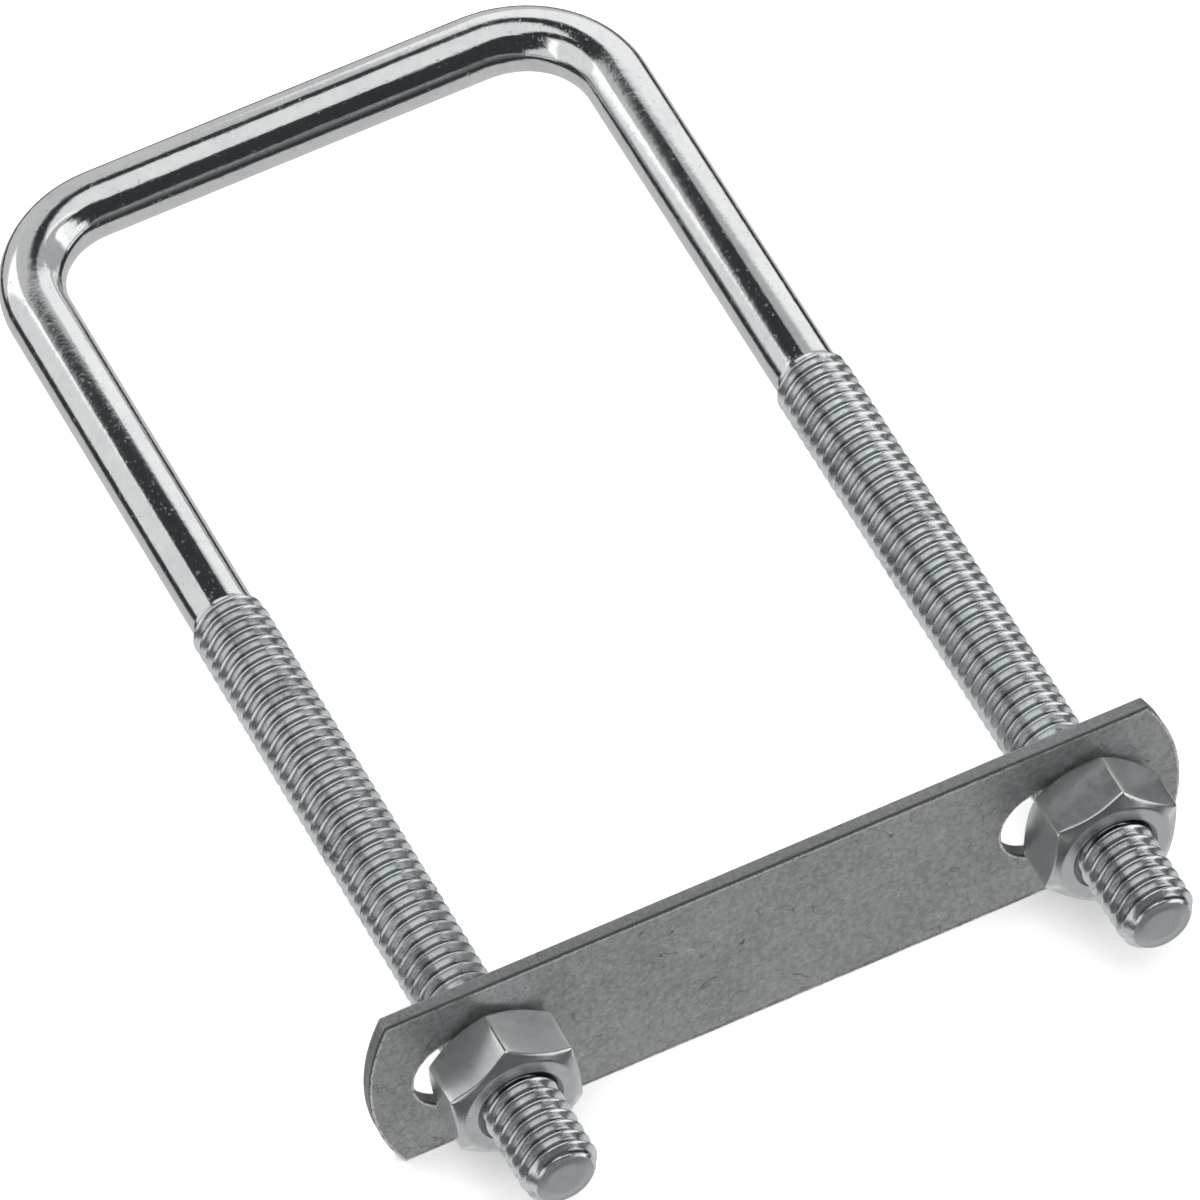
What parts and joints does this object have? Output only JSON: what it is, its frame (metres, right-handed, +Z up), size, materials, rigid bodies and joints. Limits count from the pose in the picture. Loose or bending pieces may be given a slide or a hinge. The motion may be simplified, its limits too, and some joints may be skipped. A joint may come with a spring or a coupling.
{
  "type": "square u-bolt",
  "caption": "Square-bend U-bolt with threaded legs through a slotted flat clamp plate, held by a hex nut on each leg.",
  "frame": {"origin": "middle of the crown bar, on the rod's axis", "axes": "+X from the left leg to the right leg, +Y from the leg tips towards the crown, +Z up with the U lying flat"},
  "size_m": [0.0842, 0.1339, 0.02],
  "materials": {
    "zinc_rod": "bright zinc plate",
    "zinc_plate": "satin zinc plate",
    "zinc_nut": "satin zinc plate"
  },
  "bodies": {
    "u_bolt": {"u_bolt": "zinc_rod"},
    "clamp_plate": {"clamp_plate": "zinc_plate"},
    "left_nut": {"left_nut": "zinc_nut"},
    "right_nut": {"right_nut": "zinc_nut"}
  },
  "joints": [
    {"name": "plate_slide", "type": "slide", "parent": "u_bolt", "child": "clamp_plate", "axis": [0, 1, 0], "range_m": [-0.0095, 0.0575]},
    {"name": "left_nut_spin", "type": "hinge", "parent": "clamp_plate", "child": "left_nut", "pos_m": [-0.0309, -0.1174, 0], "axis": [0, 1, 0], "range_deg": [-2423, 14669]},
    {"name": "right_nut_spin", "type": "hinge", "parent": "clamp_plate", "child": "right_nut", "pos_m": [0.0309, -0.1174, 0], "axis": [0, 1, 0], "range_deg": [-2423, 14669]}
  ],
  "couplings": [
    {"joint": "plate_slide", "follows": "left_nut_spin", "m_per_rad": 0.00022458},
    {"joint": "right_nut_spin", "follows": "left_nut_spin", "ratio": 1}
  ]
}
